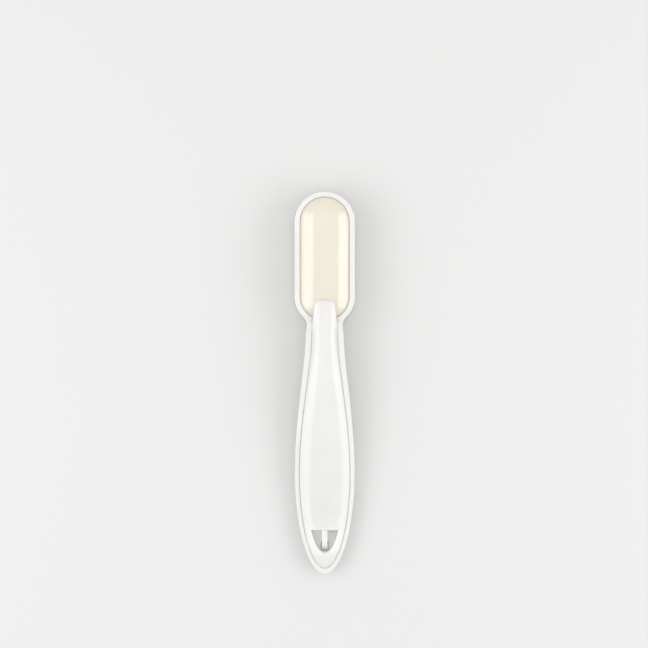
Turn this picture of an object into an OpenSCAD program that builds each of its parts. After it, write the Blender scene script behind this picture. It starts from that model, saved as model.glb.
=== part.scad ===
// Hand press for sushi rice: an open mould on a tray-shaped handle, and a hinged lever
// whose plate closes the back of the mould and pushes the pressed rice out of its open face.
// It lies with the open face down: Z is up, Y runs along the tool towards the mould, and the
// origin is the middle of the footprint, on the surface that the tool lies on.

/* [Overall] */
// Length from the tip of the mould to the end of the handle
tool_len = 200; // [190:1:215]

/* [Mould] */
// Width of the mould across its open face
mould_w = 32.8; // [31:0.2:36]
// Length inside the mould wall's tip circle and throat, from the tip to the throat
mould_len = 65.8; // [62:0.2:72]
// Height of the mould wall
mould_h = 19; // [17:0.5:21]
// Flare of the wall on each side, from the back to the open face
draft = 1.6; // [1:0.1:2]
// Thickness of the mould wall and of the tray wall
wall = 1.9; // [1.6:0.1:2.3]
// Width of the throat, where the lever's arm leaves the mould
throat_w = 13; // [12:0.2:14]
// Length of the mould's shoulder, from its straight side to the throat
shoulder_len = 10.6; // [10:0.2:12]
// Height of the sill, the low wall across the throat
sill_h = 11.2; // [10:0.2:12]

/* [Handle] */
// Width of the neck
neck_w = 19.6; // [18.6:0.2:21]
// Distance of the narrowest point from the throat
neck_back = 10.5; // [10:0.5:14]
// Radius between the neck and the mould's shoulder
neck_fillet = 6.7; // [6:0.1:8]
// Width of the grip at its widest
grip_w = 31.2; // [28:0.2:34]
// Length of the rounded tail, from the widest point of the grip to the end
tail_len = 52.4; // [48:0.2:58]
// Height of the tray's rim at the tail
tail_h = 7.5; // [7:0.1:8.5]
// Height of the neck's underside above the surface that the tool lies on
neck_lift = 8; // [6:0.5:9]
// Thickness of the tray's floor
floor_t = 1.8; // [1.5:0.1:2]

/* [Push plate] */
// Clearance between the plate and the mould wall
plate_gap = 0.4; // [0.3:0.05:0.5]
// Thickness of the plate
plate_t = 2; // [1.6:0.1:2.4]
// Height of the plate's crown above its edge
plate_rise = 4.1; // [3:0.1:5]
// Depth of the plate's edge below the mould's rim
plate_set = 0.8; // [0.5:0.1:1.2]
// Thickness of the apron that closes the throat above the sill
apron_t = 1.4; // [1:0.1:1.8]

/* [Lever] */
// Clearance between the lever and the tray wall at the widest part of the grip
lever_gap = 0.6; // [0.5:0.05:0.8]
// How much wider that clearance is at the neck
neck_gap = 0.8; // [0.4:0.1:1]
// How much wider that clearance is at the tail
tail_gap = 0.5; // [0.2:0.1:0.8]
// Thickness of the lever's skin and skirt
skin = 1.8; // [1.5:0.1:2]
// Height of the lever's crown above its edge, along the grip
lever_rise = 2.7; // [2:0.1:3.2]
// Height of the lever's edge above the tray's rim
lever_proud = 0.3; // [0.2:0.05:0.6]
// Depth of the lever's skirt below its edge
skirt = 2.6; // [2:0.1:2.8]
// Width of the lever's arm at its end on the plate
arm_w = 10.4; // [9.6:0.2:11.4]
// Length of the arm's end that lies over the plate
arm_over = 8.7; // [8:0.1:11]
// Height of the arm's edge above the plate, at its end
arm_step = 0.5; // [0.3:0.1:0.8]

/* [Hinge] */
// Distance of the hinge pins from the end of the tail
hinge_in = 28.6; // [27:0.2:31]
// Height of the hinge pins' axis
hinge_z = 5.2; // [5:0.1:5.4]
// Diameter of a hinge pin
pin_d = 2.4; // [2:0.1:2.6]
// Length of a hinge pin between its lugs
pin_len = 4; // [3.6:0.1:4.2]
// Distance of a hinge pin's inner end from the middle of the handle
pin_in = 4.2; // [3.6:0.1:4.4]
// Radial clearance of a pin in its clip
pin_clear = 0.05; // [0.03:0.01:0.08]
// Wall of a clip around its pin
clip_wall = 1.1; // [0.9:0.1:1.3]
// Width of a clip along its pin
clip_w = 2; // [1.6:0.1:2.6]
// Thickness of the lugs that hold the pins' ends
lug_t = 1.2; // [1:0.1:1.4]

/* [Tail window and spring tongue] */
// Distance of the window's straight edge from the end of the tail
window_in = 23; // [22:0.2:23.6]
// Distance of the window's round end from the end of the tail
window_end = 10.9; // [10.5:0.1:11.5]
// Width of the window at its straight edge
window_w = 14.4; // [13:0.2:15]
// Width of the spring tongue
tongue_w = 2.8; // [2.4:0.1:3.2]
// Thickness of the spring tongue
tongue_t = 1.4; // [1.2:0.1:1.6]
// Width of the tongue's foot
foot_w = 3.4; // [3.4:0.1:3.8]
// Length of the tongue
tongue_len = 10.8; // [10.4:0.1:11]
// Height of the keeper's bar above the floor, which the tongue's toe hooks under
keeper_gap = 2.4; // [2.2:0.1:2.6]

/* [Hidden] */

white_clear = [0.95, 0.945, 0.92];
white_milky = [0.93, 0.93, 0.93];
white_shade = [0.86, 0.87, 0.87];

// Places along the tool
y_tip = tool_len / 2;
y_tail = -tool_len / 2;
mould_hw = mould_w / 2;
y_tip_centre = y_tip - mould_hw;
y_throat = y_tip - mould_len;
y_shoulder = y_throat + shoulder_len;
y_join = y_throat - wall;
y_neck = y_throat - neck_back;
y_wide = y_tail + tail_len;
y_arm = y_throat + arm_over;
y_hinge = y_tail + hinge_in;
y_window = y_tail + window_in;
y_window_end = y_tail + window_end;

// Mould outline: the cavity's shoulder is an arc from the straight side to the throat
cavity_hw = mould_hw - wall - draft;
throat_hw = throat_w / 2;
cavity_r = (shoulder_len ^ 2 + (cavity_hw - throat_hw) ^ 2) / (2 * (cavity_hw - throat_hw));
shoulder_x = cavity_hw - cavity_r;
outer_r = mould_hw - shoulder_x;

// Neck and grip outline
neck_hw = neck_w / 2;
grip_hw = grip_w / 2;
fillet_x = neck_hw + neck_fillet;
y_fillet = y_shoulder - sqrt((outer_r + neck_fillet) ^ 2 - (fillet_x - shoulder_x) ^ 2);
grip_blend = 1.4;      // power of the sine that widens the neck into the grip

// Heights of the tray
flat_in = 40;          // length of the flat underside, from the end of the tail
rim_in = 25;           // length of the level rim at the tail
y_flat = y_tail + flat_in;
y_rim = y_tail + rim_in;
sweep_lead = 1.5;      // how far the floor leads the underside where the neck sweeps up
edge_r = 0.6;          // rounding of rims
base_r = 2.4;          // rounding under the handle
base_in = 1;           // how far the handle's outside leans in, down to its underside
inner_draft = 0.3;     // how far its inside leans in, down to its floor
foot_r = 0.4;          // rounding of the mould's open face
round_mid = 0.3;       // share of a rounding's radius at which its middle point lies

// Lever and plate
arm_hw = arm_w / 2;
arm_corner = 2.2;      // rounding of the corners at the arm's end in plan
arm_rise = 1;          // height of its crown above its edge, at its end
arm_skirt = 1.2;       // depth of its skirt there
arm_seat = 0.2;         // slit between the arm and the plate that it holds
crown_power = 2.4;     // the crown is flat along its middle and falls away at its edges
flat_share = 0.8;      // share of the plate's half width over which it rises
plate_hw = cavity_hw - plate_gap;
y_plate = y_throat + plate_gap;
plate_edge_z = mould_h - plate_set;
apron_lap = 0.6;       // how far the apron reaches below the top of the sill
apron_in = 0.2;        // how far it stands inside the plate's outline
apron_sink = 0.4;      // how far its top lies below the plate's edge
throat_clear = 0.55;   // clearance beside the arm in the throat

// Raised mark for the thumb, near the tail
mark_ahead = 7.6;      // distance of its point ahead of the hinge
mark_len = 4;
mark_hw = 4.2;
mark_w = 1.5;          // width of its strokes, measured across the tool
mark_rise = 0.25;

// Hinge and spring
lug_len = 4.8;
lug_below = 0.6;       // how far a lug reaches below its pin
pin_out = pin_in + pin_len;
clip_mouth = 0.8;      // share of the pin's diameter that the clip's mouth is open
keeper_t = 1;          // thickness of the bar, and how far it is let into each side
keeper_len = 1.6;      // length of the bar along the tool
keeper_side_gap = 0.6; // clearance between the foot and the sides of its pocket
keeper_end_gap = 0.6;  // clearance between the foot and the back of the pocket
pocket_len = 5;        // length of the pocket along the tool
step_h = 5;            // height of the platform under the window
step_hw = 7.4;         // its half width at its front
step_end_hw = 3;       // and at its back end
step_ahead = 1.4;      // how far it reaches ahead of the window
step_even = 1;         // length behind the window's edge over which it keeps its width
step_back = 2.2;       // how far it reaches behind the foot
keeper_y_gap = 0.8;    // clearance between the foot and the bar
toe_t = 1.1;
toe_lap = 1.1;         // how far the toe reaches under the bar
toe_clear = 0.2;
stop_w = 3;
stop_len = 1.8;
stop_back = 1.4;       // distance of the stop inside the lever's skirt
stop_bow = 0.4;        // how far the skirt's inside curves towards the stop's corners
stop_clear = 0.2;
root_gap = 0.15;       // slit between the tongue's root and the window's edge
window_round = 27.1;   // half length of the ellipse that the window's round end is cut from
foot_len = 2.9;        // length of the tongue's foot in plan
stem_dip = 1.5;        // how far its stem dips before it turns down
foot_drop = 2.6;       // depth of the bend between the stem and the upright of the foot
bend_in = 0.6;         // how far the bend's middle lies inside the foot's end

// How finely the curved skins are divided
neck_steps = 12;
grip_steps = 14;
tail_steps = 14;
shoulder_steps = 10;
tip_steps = 14;
window_steps = 20;

function ease(t) = let (c = max(0, min(1, t))) c * c * (3 - 2 * c);
function lerp(a, b, t) = a + (b - a) * t;

// ---------------------------------------------------------------- outlines in plan

// Half width of the neck and grip at y
function grip_hw_at(y) =
    let (t = max(0, (y_neck - y) / (y_neck - y_wide)))
    neck_hw + (grip_hw - neck_hw) * pow(sin(90 * min(1, t)), grip_blend);

// Y at which the shoulder's arc passes into the neck's fillet, d inside the outline
function y_tangent(d) = y_shoulder - (outer_r - d) * (y_shoulder - y_fillet) / (outer_r + neck_fillet);

// Half width of the moulding at y, d inside its outline, from the shoulder to the grip
function outer_hw_at(y, d) =
    y > y_tangent(d) ? shoulder_x + sqrt((outer_r - d) ^ 2 - (y_shoulder - y) ^ 2) :
    y > y_fillet ? fillet_x - sqrt((neck_fillet + d) ^ 2 - (y - y_fillet) ^ 2) :
    grip_hw_at(y) - d;

// A point of the rounded tail at an angle from the grip's widest point, side_in inside its
// outline at the side and end_in inside it at the end
function tail_point(a, side_in, end_in) =
    [a == 90 ? 0 : (grip_hw - side_in) * cos(a), y_wide - (tail_len - end_in) * sin(a)];

// A quarter of the mould's round end, from the centre line
function tip_arc(r) =
    [for (i = [0 : tip_steps])
        let (a = 90 * i / tip_steps) [r * sin(a), y_tip_centre + r * cos(a)]];

// Right half of the mould's outer outline, d inside it, from the tip to the join
function mould_outer_half(d) = concat(
    tip_arc(mould_hw - d),
    [for (i = [0 : shoulder_steps])
        let (y = lerp(y_shoulder, y_join, i / shoulder_steps)) [outer_hw_at(y, d), y]],
    [[0, y_join]]);

// Right half of the cavity's outline, d inside it, from the tip to y_end
function cavity_half(d, y_end) = concat(
    tip_arc(cavity_hw - d),
    [for (i = [0 : shoulder_steps])
        let (y = lerp(y_shoulder, y_end, i / shoulder_steps))
        [shoulder_x + sqrt((cavity_r - d) ^ 2 - (y_shoulder - y) ^ 2), y]],
    [[0, y_end]]);

// ---------------------------------------------------------------- skins

// A closed loop from its right half, which starts and ends on the centre line
function whole(half) =
    let (n = len(half) - 1)
    concat(half, [for (i = [n - 1 : -1 : 1]) [-half[i][0], half[i][1], half[i][2]]]);

function at_z(points, z) = [for (p = points) [p[0], p[1], z]];

// Side faces between the loops of a stack; wrap joins the last loop to the first
function side_faces(loops, m, wrap) =
    let (n = len(loops))
    [for (k = [0 : n - (wrap ? 1 : 2)], i = [0 : m - 1])
        let (a = k * m + i, b = k * m + (i + 1) % m,
             c = ((k + 1) % n) * m + (i + 1) % m, d = ((k + 1) % n) * m + i)
        each [[a, b, c], [a, c, d]]];

// Strips across a mirrored loop of m points that starts at index s, with a fan at each end
function cap_faces(m, s) =
    let (h = m / 2)
    [for (f = concat(
        [[0, 1, 2], [0, 2, m - 2], [0, m - 2, m - 1]],
        [for (i = [2 : h - 3]) each [[i, i + 1, m - i - 1], [i, m - i - 1, m - i]]],
        [[h - 2, h - 1, h], [h - 2, h, h + 2], [h, h + 1, h + 2]]))
        [for (i = f) s + i]];

function flipped(faces) = [for (f = faces) [f[2], f[1], f[0]]];

// A solid between mirrored closed loops, capped at its first and last loop
module shell(loops) {
    m = len(loops[0]);
    polyhedron(
        points = [for (l = loops, p = l) p],
        faces = concat(side_faces(loops, m, false), flipped(cap_faces(m, 0)),
                       cap_faces(m, (len(loops) - 1) * m)));
}

// A solid between closed loops that go round a hole
module hoop(loops) {
    polyhedron(points = [for (l = loops, p = l) p], faces = side_faces(loops, len(loops[0]), true));
}

// ---------------------------------------------------------------- mould

// Layers of the mould wall: [distance inside the outer outline, height], up its outside
function wall_outside() = [
    [foot_r, 0],
    [0, foot_r],
    [draft * (mould_h - edge_r) / mould_h, mould_h - edge_r],
    [draft + round_mid * edge_r, mould_h - round_mid * edge_r],
    [draft + edge_r, mould_h]];

// Layers down its inside: [distance inside the cavity's outline at the back, height]
function wall_inside() = [
    [-edge_r, mould_h],
    [-round_mid * edge_r, mould_h - round_mid * edge_r],
    [-draft * edge_r / mould_h, mould_h - edge_r],
    [-draft * (mould_h - foot_r) / mould_h, foot_r],
    [-draft - foot_r, 0]];

module mould_ring() {
    color(white_clear)
    difference() {
        hoop(concat(
            [for (l = wall_outside()) whole(at_z(mould_outer_half(l[0]), l[1]))],
            [for (l = wall_inside()) whole(at_z(cavity_half(l[0], y_throat), l[1]))]));
        translate([-throat_cut_hw, y_join - 1, sill_h])
            cube([2 * throat_cut_hw, wall + 2, mould_h]);
    }
}

// ---------------------------------------------------------------- handle tray

function z_under(y) =
    neck_lift * ease((y - y_flat) / (y_neck - y_flat)) * (1 - ease((y - y_neck) / (y_join - y_neck)));
function z_floor(y) = floor_t + max(z_under(y), z_under(y - sweep_lead));
function z_rim(y) = tail_h + (mould_h - tail_h) * ease((y - y_rim) / (y_join - y_rim));

// 1 at the join with the mould, 0 from the neck back
function near_mould(y) = ease((y - y_neck) / (y_join - y_neck));

// Layers of the tray at y: [distance inside the outline, height], from the underside up the
// outside, over the rim and down to the floor
function tray_layers(y) =
    let (m = near_mould(y), rim_in_d = draft * m, base = base_in * (1 - m),
         r = lerp(base_r, foot_r, m), zu = z_under(y), zr = z_rim(y), zf = z_floor(y),
         inner = rim_in_d + wall + inner_draft * (1 - m))
    [[base + r, zu],
     [base + round_mid * r, zu + round_mid * r],
     [base, zu + r],
     [rim_in_d, zr - edge_r],
     [rim_in_d + round_mid * edge_r, zr - round_mid * edge_r],
     [rim_in_d + edge_r, zr],
     [rim_in_d + wall - edge_r, zr],
     [rim_in_d + wall, zr - edge_r],
     [inner, zf + edge_r],
     [inner + edge_r, zf]];

// Stations along the tray: [y, angle round the tail]
tray_stations = concat(
    [for (i = [0 : neck_steps]) [lerp(y_join, y_neck, i / neck_steps), 0]],
    [for (i = [1 : grip_steps]) [lerp(y_neck, y_wide, i / grip_steps), 0]],
    [for (i = [1 : tail_steps]) let (a = 90 * i / tail_steps) [y_wide - tail_len * sin(a), a]]);

function tray_point(s, layer) =
    let (p = s[1] > 0 ? tail_point(s[1], layer[0], layer[0]) : [outer_hw_at(s[0], layer[0]), s[0]])
    [p[0], p[1], layer[1]];

// One layer of the tray, from its right end at the join round the tail to its left end
function tray_chain(k) =
    let (right = [for (s = tray_stations) tray_point(s, tray_layers(s[0])[k])], n = len(right))
    concat(right, [for (i = [n - 2 : -1 : 0]) [-right[i][0], right[i][1], right[i][2]]]);

module tray_solid() {
    layers = len(tray_layers(y_join));
    chains = [for (k = [0 : layers - 1]) tray_chain(k)];
    m = len(chains[0]);
    h = (m - 1) / 2;
    sides = [for (k = [0 : layers - 2], i = [0 : m - 2])
        let (a = k * m + i, b = a + 1, c = b + m, d = a + m) each [[a, b, c], [a, c, d]]];
    function strips(s) = [for (i = [0 : h - 1])
        let (a = s + i, b = a + 1, c = s + m - 2 - i, d = c + 1)
        each (i == h - 1 ? [[a, b, d]] : [[a, b, c], [a, c, d]])];
    // The face at the join is the tray's own section, a U
    section = concat([for (k = [0 : layers - 1]) k * m],
                     [for (k = [layers - 1 : -1 : 0]) k * m + m - 1]);
    polyhedron(
        points = [for (c = chains, p = c) p],
        faces = concat(sides, flipped(strips(0)), strips((layers - 1) * m), [section]));
}

module handle_tray() {
    color(white_milky) tray_solid();
}

// ---------------------------------------------------------------- push plate

function crown(share) = 1 - pow(1 - min(1, max(0, share)), crown_power);

// Top of the plate, d inside its outline
function plate_z(d) = plate_edge_z + plate_rise * crown(d / plate_hw);

// Distances inside the outline at which it is drawn, as shares of that of its flat middle
plate_shares = [0, 0.07, 0.2, 0.37, 0.57, 0.8, 1];
plate_in_shares = [0.2, 0.37, 0.57, 0.8, 1];
plate_flat = flat_share * min(plate_hw, y_shoulder - y_plate);

// Distance inside the plate's outline, and top of the plate, at a place on its throat side
function plate_d(x, y) =
    min(plate_hw - x, y - y_plate, cavity_r - plate_gap - norm([x - shoulder_x, y_shoulder - y]));
function plate_top(x, y) = plate_z(min(plate_d(x, y), plate_flat));

function plate_loop(d, z) = whole(at_z(cavity_half(plate_gap + d, y_plate + d), z));

module push_plate() {
    apron_hw = throat_hw - plate_gap - apron_in;
    color(white_clear)
    union() {
        shell(concat(
            [for (i = [len(plate_in_shares) - 1 : -1 : 0])
                let (d = plate_flat * plate_in_shares[i]) plate_loop(d, plate_z(d) - plate_t)],
            [plate_loop(0, plate_edge_z - plate_t)],
            [for (s = plate_shares) let (d = plate_flat * s) plate_loop(d, plate_z(d))]));
        translate([-apron_hw, y_plate + apron_in, sill_h - apron_lap])
            cube([2 * apron_hw, apron_t, plate_edge_z - apron_sink - sill_h + apron_lap]);
    }
}

// ---------------------------------------------------------------- press lever

lever_in = wall + lever_gap;
lever_end_in = lever_in + tail_gap;
lever_neck_in = lever_in + neck_gap;

arm_edge_z = plate_z(plate_flat) + arm_step;
function along_arm(y) = ease((y - y_neck) / (y_arm - y_neck));
function lever_hw_at(y) =
    y > y_neck ? lerp(neck_hw - lever_neck_in, arm_hw, along_arm(y))
               : grip_hw_at(y) - lerp(lever_in, lever_neck_in, ease((y - y_wide) / (y_neck - y_wide)));
function lever_edge_z(y) =
    lerp(z_rim(min(y, y_neck)) + lever_proud, arm_edge_z, along_arm(y));
function lever_rise_at(y) = lerp(lever_rise, arm_rise, along_arm(y));
function lever_skirt_at(y) = lerp(skirt, arm_skirt, ease((y - y_throat) / (y_arm - y_throat)));

// Top of the lever's skin at y, at a share of the way in from its edge
function lever_z(y, share) = lever_edge_z(y) + lever_rise_at(y) * crown(share);

throat_cut_hw = lever_hw_at(y_join) + throat_clear;

// Shares at which the skin is drawn: of the half width on top, from the edge towards the
// middle, and of the space within the skirt below, the other way
lever_shares = [0, 0.05, 0.13, 0.25, 0.42, 0.62, 0.84];
hollow_shares = [0.8, 0.45, 0.18, 0];

// Layers of the lever at y with half width w: [distance inside the outline, height, whether it
// is underneath], from the middle of its underside out to the skirt, up and over the crown
function lever_layers(y, w) =
    let (zs = lever_edge_z(y) - lever_skirt_at(y))
    concat(
        [for (s = hollow_shares)
            let (d = lerp(skin, w, s)) [d, lever_z(y, d / w) - skin, true]],
        [[skin, zs, true], [0, zs, true]],
        [for (s = lever_shares) [w * s, lever_z(y, s), false]]);

// Stations along the lever: [kind, y or angle]; 0 arm's end, 1 its corner, 2 side, 3 tail
y_side_start = y_arm - arm_hw - 0.5;
lever_stations = concat(
    [[0, y_arm]],
    [for (a = [90 : -30 : 0]) [1, a]],
    [for (i = [0 : neck_steps]) [2, lerp(y_side_start, y_neck, i / neck_steps)]],
    [for (i = [1 : grip_steps]) [2, lerp(y_neck, y_wide, i / grip_steps)]],
    [for (i = [1 : tail_steps]) [3, 90 * i / tail_steps]]);

function lever_station_y(s) =
    s[0] < 2 ? y_arm : s[0] == 2 ? s[1] : tail_point(s[1], lever_in, lever_end_in)[1];
function lever_station_w(s) =
    s[0] < 2 ? arm_hw : s[0] == 2 ? lever_hw_at(s[1]) : grip_hw - lever_in;

function lever_place(s, d) =
    let (r = arm_corner * (1 - d / arm_hw))
    s[0] == 0 ? [0, y_arm - d] :
    s[0] == 1 ? [arm_hw - d - r * (1 - cos(s[1])), y_arm - d - r * (1 - sin(s[1]))] :
    s[0] == 2 ? [lever_hw_at(s[1]) - d, s[1]] :
    tail_point(s[1], lever_in + d, lever_end_in + d);

// The underside stays on the plate where the arm lies over it
function lever_point(s, layer) =
    let (p = lever_place(s, layer[0]),
         seat = layer[2] && p[1] > y_plate ? plate_top(p[0], p[1]) + arm_seat : 0)
    [p[0], p[1], max(layer[1], seat)];

function lever_loop(k) = whole(
    [for (s = lever_stations)
        lever_point(s, lever_layers(lever_station_y(s), lever_station_w(s))[k])]);

// Outline of the tail window: a round end that narrows from a straight edge
module window_outline() {
    reach = window_in - window_end;
    yc = y_window_end + window_round;
    rx = window_w / 2 / sqrt(1 - ((window_round - reach) / window_round) ^ 2);
    polygon([for (i = [0 : window_steps])
        let (y = y_window - reach * (1 - (1 - i / window_steps) ^ 2))
        [i == window_steps ? 0 : rx * sqrt(1 - ((yc - y) / window_round) ^ 2), y],
        for (i = [window_steps - 1 : -1 : 0])
        let (y = y_window - reach * (1 - (1 - i / window_steps) ^ 2))
        [-rx * sqrt(1 - ((yc - y) / window_round) ^ 2), y]]);
}

// Height inside the lever's skin at the hinge, at x from the middle
function lug_top_z(x) = lever_z(y_hinge, 1 - x / lever_tail_hw(y_hinge)) - skin / 2;
function lever_tail_hw(y) =
    (grip_hw - lever_in) * sqrt(1 - ((y_wide - y) / (tail_len - lever_end_in)) ^ 2);

// A raised chevron that points towards the mould
module thumb_mark() {
    y_mark = y_hinge + mark_ahead;
    top = lever_z(y_mark - mark_len, 1) + mark_rise;
    translate([0, 0, top - skin]) linear_extrude(height = skin)
        polygon([[0, y_mark], [mark_hw, y_mark - mark_len],
                 [mark_hw - mark_w, y_mark - mark_len], [0, y_mark - mark_w],
                 [mark_w - mark_hw, y_mark - mark_len], [-mark_hw, y_mark - mark_len]]);
}

module press_lever() {
    layers = len(lever_layers(y_neck, neck_hw));
    lug_base = hinge_z - pin_d / 2 - lug_below;
    color(white_milky)
    difference() {
        union() {
            shell([for (k = [0 : layers - 1]) lever_loop(k)]);
            for (side = [0, 1], x = [pin_in - lug_t, pin_out]) mirror([side, 0, 0])
                translate([x, y_hinge - lug_len / 2, lug_base])
                    cube([lug_t, lug_len, lug_top_z(x + lug_t) - lug_base]);
            thumb_mark();
        }
        translate([0, 0, hinge_z]) linear_extrude(height = tool_len) window_outline();
    }
}

// ---------------------------------------------------------------- hinge

module hinge_pins() {
    color(white_shade)
    for (side = [0, 1]) mirror([side, 0, 0])
        translate([pin_in, y_hinge, hinge_z]) rotate([0, 90, 0])
            cylinder(d = pin_d, h = pin_len, $fn = 48);
}

// A clip that is open at its top, where its pin snaps in
module hinge_clip() {
    r = pin_d / 2 + pin_clear + clip_wall;
    difference() {
        union() {
            translate([-clip_w / 2, 0, hinge_z]) rotate([0, 90, 0])
                cylinder(r = r, h = clip_w, $fn = 48);
            translate([-clip_w / 2, -r, floor_t]) cube([clip_w, 2 * r, hinge_z - floor_t]);
        }
        translate([-clip_w / 2 - 1, 0, hinge_z]) rotate([0, 90, 0])
            cylinder(r = pin_d / 2 + pin_clear, h = clip_w + 2, $fn = 48);
        translate([-clip_w / 2 - 1, -pin_d * clip_mouth / 2, hinge_z])
            cube([clip_w + 2, pin_d * clip_mouth, 2 * r]);
        translate([-clip_w / 2 - 1, -2 * r, hinge_z + pin_d / 2]) cube([clip_w + 2, 4 * r, r]);
    }
}

module hinge_clips() {
    color(white_shade)
    for (side = [-1, 1]) translate([side * (pin_in + pin_len / 2), y_hinge, 0]) hinge_clip();
}

// ---------------------------------------------------------------- spring tongue and its keeper

y_foot = y_window - tongue_len;
y_keeper = y_foot + tongue_t + keeper_y_gap;
keeper_z = floor_t + keeper_gap;
tongue_root_z = lever_z(y_window, 1);

// Side view of the tongue: a stem that dips, a foot that turns down, and a toe
module tongue_profile() {
    top = tongue_root_z;
    toe_top = keeper_z - toe_clear;
    polygon([
        [y_window - root_gap, top],
        [y_foot + foot_len, top - stem_dip],
        [y_foot + bend_in, top - stem_dip - foot_drop / 2],
        [y_foot, top - stem_dip - foot_drop],
        [y_foot, toe_top - toe_t],
        [y_keeper + toe_lap, toe_top - toe_t],
        [y_keeper + toe_lap, toe_top],
        [y_foot + tongue_t, toe_top],
        [y_foot + tongue_t, top - stem_dip - foot_drop],
        [y_foot + foot_len, top - stem_dip - tongue_t],
        [y_window - root_gap, top - tongue_t]]);
}

module across(w) {
    translate([-w / 2, 0, 0]) rotate([90, 0, 90]) linear_extrude(height = w) children();
}

module spring_tongue() {
    color(white_milky)
    union() {
        across(tongue_w) tongue_profile();
        across(foot_w) intersection() {
            tongue_profile();
            translate([y_foot, 0]) square([foot_len, tongue_root_z]);
        }
    }
}

// A platform under the window, with a pocket for the tongue's foot and a bar over its toe
module spring_keeper() {
    inside = foot_w / 2 + keeper_side_gap;
    color(white_shade)
    union() {
        translate([0, 0, floor_t]) linear_extrude(height = step_h)
        difference() {
            hull() {
                translate([-step_hw, y_window - step_even])
                    square([2 * step_hw, step_even + step_ahead]);
                translate([-step_end_hw, y_foot - step_back]) square([2 * step_end_hw, 1]);
            }
            translate([-inside, y_foot - keeper_end_gap]) square([2 * inside, pocket_len]);
        }
        translate([-inside - keeper_t, y_keeper, keeper_z])
            cube([2 * (inside + keeper_t), keeper_len, keeper_t]);
    }
}

// The post that the lever's tail rests on when the lever is up
module tail_stop() {
    share = (skin + stop_back - stop_bow) / (grip_hw - lever_in);
    top = lever_z(y_tail, share) - skin - stop_clear;
    color(white_shade)
    translate([-stop_w / 2, y_tail + lever_end_in + skin + stop_back, floor_t])
        cube([stop_w, stop_len, top - floor_t]);
}

mould_ring();
handle_tray();
hinge_clips();
spring_keeper();
tail_stop();
push_plate();
press_lever();
hinge_pins();
spring_tongue();
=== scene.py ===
# %% [markdown]
# # A hand press for sushi rice, dressed for a photograph
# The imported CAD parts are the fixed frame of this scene. The lesson replaces the faceted solids by
# smooth mouldings, gives everything a plastic finish, and lights it as a small product picture.
# The real tool is two snapped-together mouldings of milky polypropylene: a mould with a hollow
# handle, and a domed plate on a long thumb lever. What the light falls on gets a mesh here. The
# hinge's pins and clips and the stop under the tail keep their CAD solids.

import math

import bmesh
import bpy
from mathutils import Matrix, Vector


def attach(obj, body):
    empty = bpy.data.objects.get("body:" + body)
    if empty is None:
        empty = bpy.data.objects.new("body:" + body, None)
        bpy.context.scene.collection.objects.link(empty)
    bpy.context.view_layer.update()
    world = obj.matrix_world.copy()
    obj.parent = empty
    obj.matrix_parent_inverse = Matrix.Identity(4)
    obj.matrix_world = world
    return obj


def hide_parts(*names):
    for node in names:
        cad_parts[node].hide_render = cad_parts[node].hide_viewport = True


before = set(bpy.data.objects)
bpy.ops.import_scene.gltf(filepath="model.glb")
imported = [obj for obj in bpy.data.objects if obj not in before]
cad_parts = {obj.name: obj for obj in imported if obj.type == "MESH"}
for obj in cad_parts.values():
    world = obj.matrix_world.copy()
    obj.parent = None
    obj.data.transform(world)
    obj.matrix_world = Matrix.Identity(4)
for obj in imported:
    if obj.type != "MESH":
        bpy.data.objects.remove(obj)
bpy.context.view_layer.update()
print("CAD nodes:", ", ".join(sorted(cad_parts)))

# %% [markdown]
# ## Measures
# Blender works in metres, but a moulding is thought of in millimetres. The shape functions below
# speak millimetres, and one helper turns a point into metres as it is placed. The same handful of
# measures drives the body, the plate and the lever, so the pieces keep their clearances. `Y` runs
# along the tool, from the tail to the tip of the mould, and a `HALF` is half a width.

# %% Measures of the mould
MM = 0.001
TIP_Y = 100.0
MOULD_HALF = 16.4
MOULD_HIGH = 19.0
WALL = 1.9
DRAFT = 1.6  # how much farther in the wall's inside lies at the top than at the open face
OUTER_DRAFT = 0.8  # the same for its outside
SHOULDER_LONG = 10.6  # from the end of the straight sides to the throat
THROAT_Y, THROAT_HALF = 34.2, 6.5
SILL_HIGH = 11.2

JOIN_Y = THROAT_Y - WALL
SHOULDER_Y = THROAT_Y + SHOULDER_LONG
TIP_CENTRE_Y = TIP_Y - MOULD_HALF
CAVITY_HALF = MOULD_HALF - WALL - DRAFT
print(f"mould {2 * MOULD_HALF:.1f} mm wide, {2 * CAVITY_HALF:.1f} mm inside at the plate")

# %% Measures of the neck, the handle and the lever
NECK_Y, NECK_HALF = 23.7, 9.8
NECK_FILLET = 6.7
WIDE_Y, GRIP_HALF = -47.6, 15.6  # the grip's widest place
TAIL_LONG, TAIL_HIGH = 52.4, 7.5

# The lever's edge lies this far inside the body's outline at the grip, the tail's end and the neck
LEVER_IN, LEVER_END_IN, LEVER_NECK_IN = 2.5, 3.0, 3.3
GAP = 0.3  # the slit all round the lever

# The shoulder is one arc in plan, and the neck's fillet is another that touches it
shoulder_drop = CAVITY_HALF - THROAT_HALF
CAVITY_R = (SHOULDER_LONG**2 + shoulder_drop**2) / (2 * shoulder_drop)
SHOULDER_X = CAVITY_HALF - CAVITY_R
OUTER_R = MOULD_HALF - SHOULDER_X
FILLET_X = NECK_HALF + NECK_FILLET
FILLET_Y = SHOULDER_Y - math.sqrt((OUTER_R + NECK_FILLET) ** 2 - (FILLET_X - SHOULDER_X) ** 2)
print(f"shoulder arc {OUTER_R:.2f} mm, neck fillet centred at y {FILLET_Y:.2f} mm")

# %% [markdown]
# ## Two small curves that everything shares
# `ease` goes from 0 to 1 and leaves and arrives level, which is how a moulding's heights run into
# each other. `crown` rises steeply at an edge and flattens towards the middle: that is the profile
# of the thumb lever and of the plate, and it is what makes their long soft highlights.

# %% The two curves
CROWN_POWER = 2.4


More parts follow.
